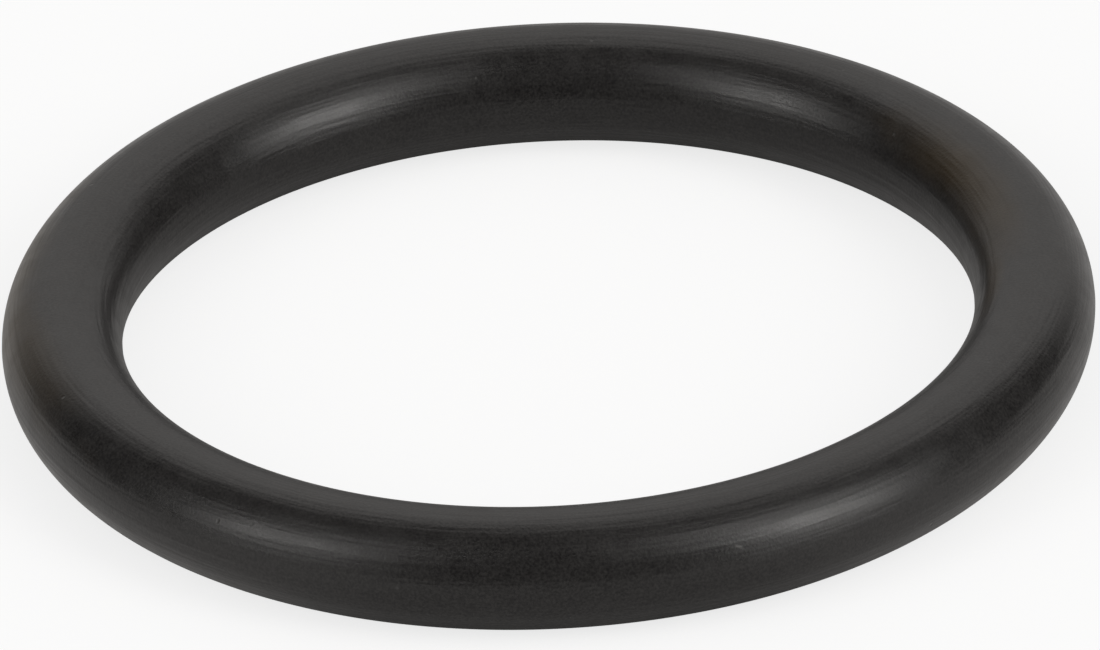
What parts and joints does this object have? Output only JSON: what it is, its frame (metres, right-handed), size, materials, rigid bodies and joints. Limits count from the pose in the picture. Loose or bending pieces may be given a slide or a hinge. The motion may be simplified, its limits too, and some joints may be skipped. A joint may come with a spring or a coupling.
{
  "type": "rubber o-ring",
  "caption": "Round black rubber seal ring of round section, which seals a shaft, a bore or a face joint when it is squeezed in its groove.",
  "frame": {"origin": "centre of the hole, on the ring's axis, in the parting plane halfway up the section", "axes": "+Z along the ring's axis, up as it lies on a bench; the ring is round, so X and Y are alike"},
  "size_m": [0.032, 0.032, 0.0036],
  "materials": {
    "rubber": "matt black moulded rubber with a faint sheen, as a hard nitrile seal has"
  },
  "bodies": {
    "root": {"o_ring": "rubber"}
  },
  "joints": []
}
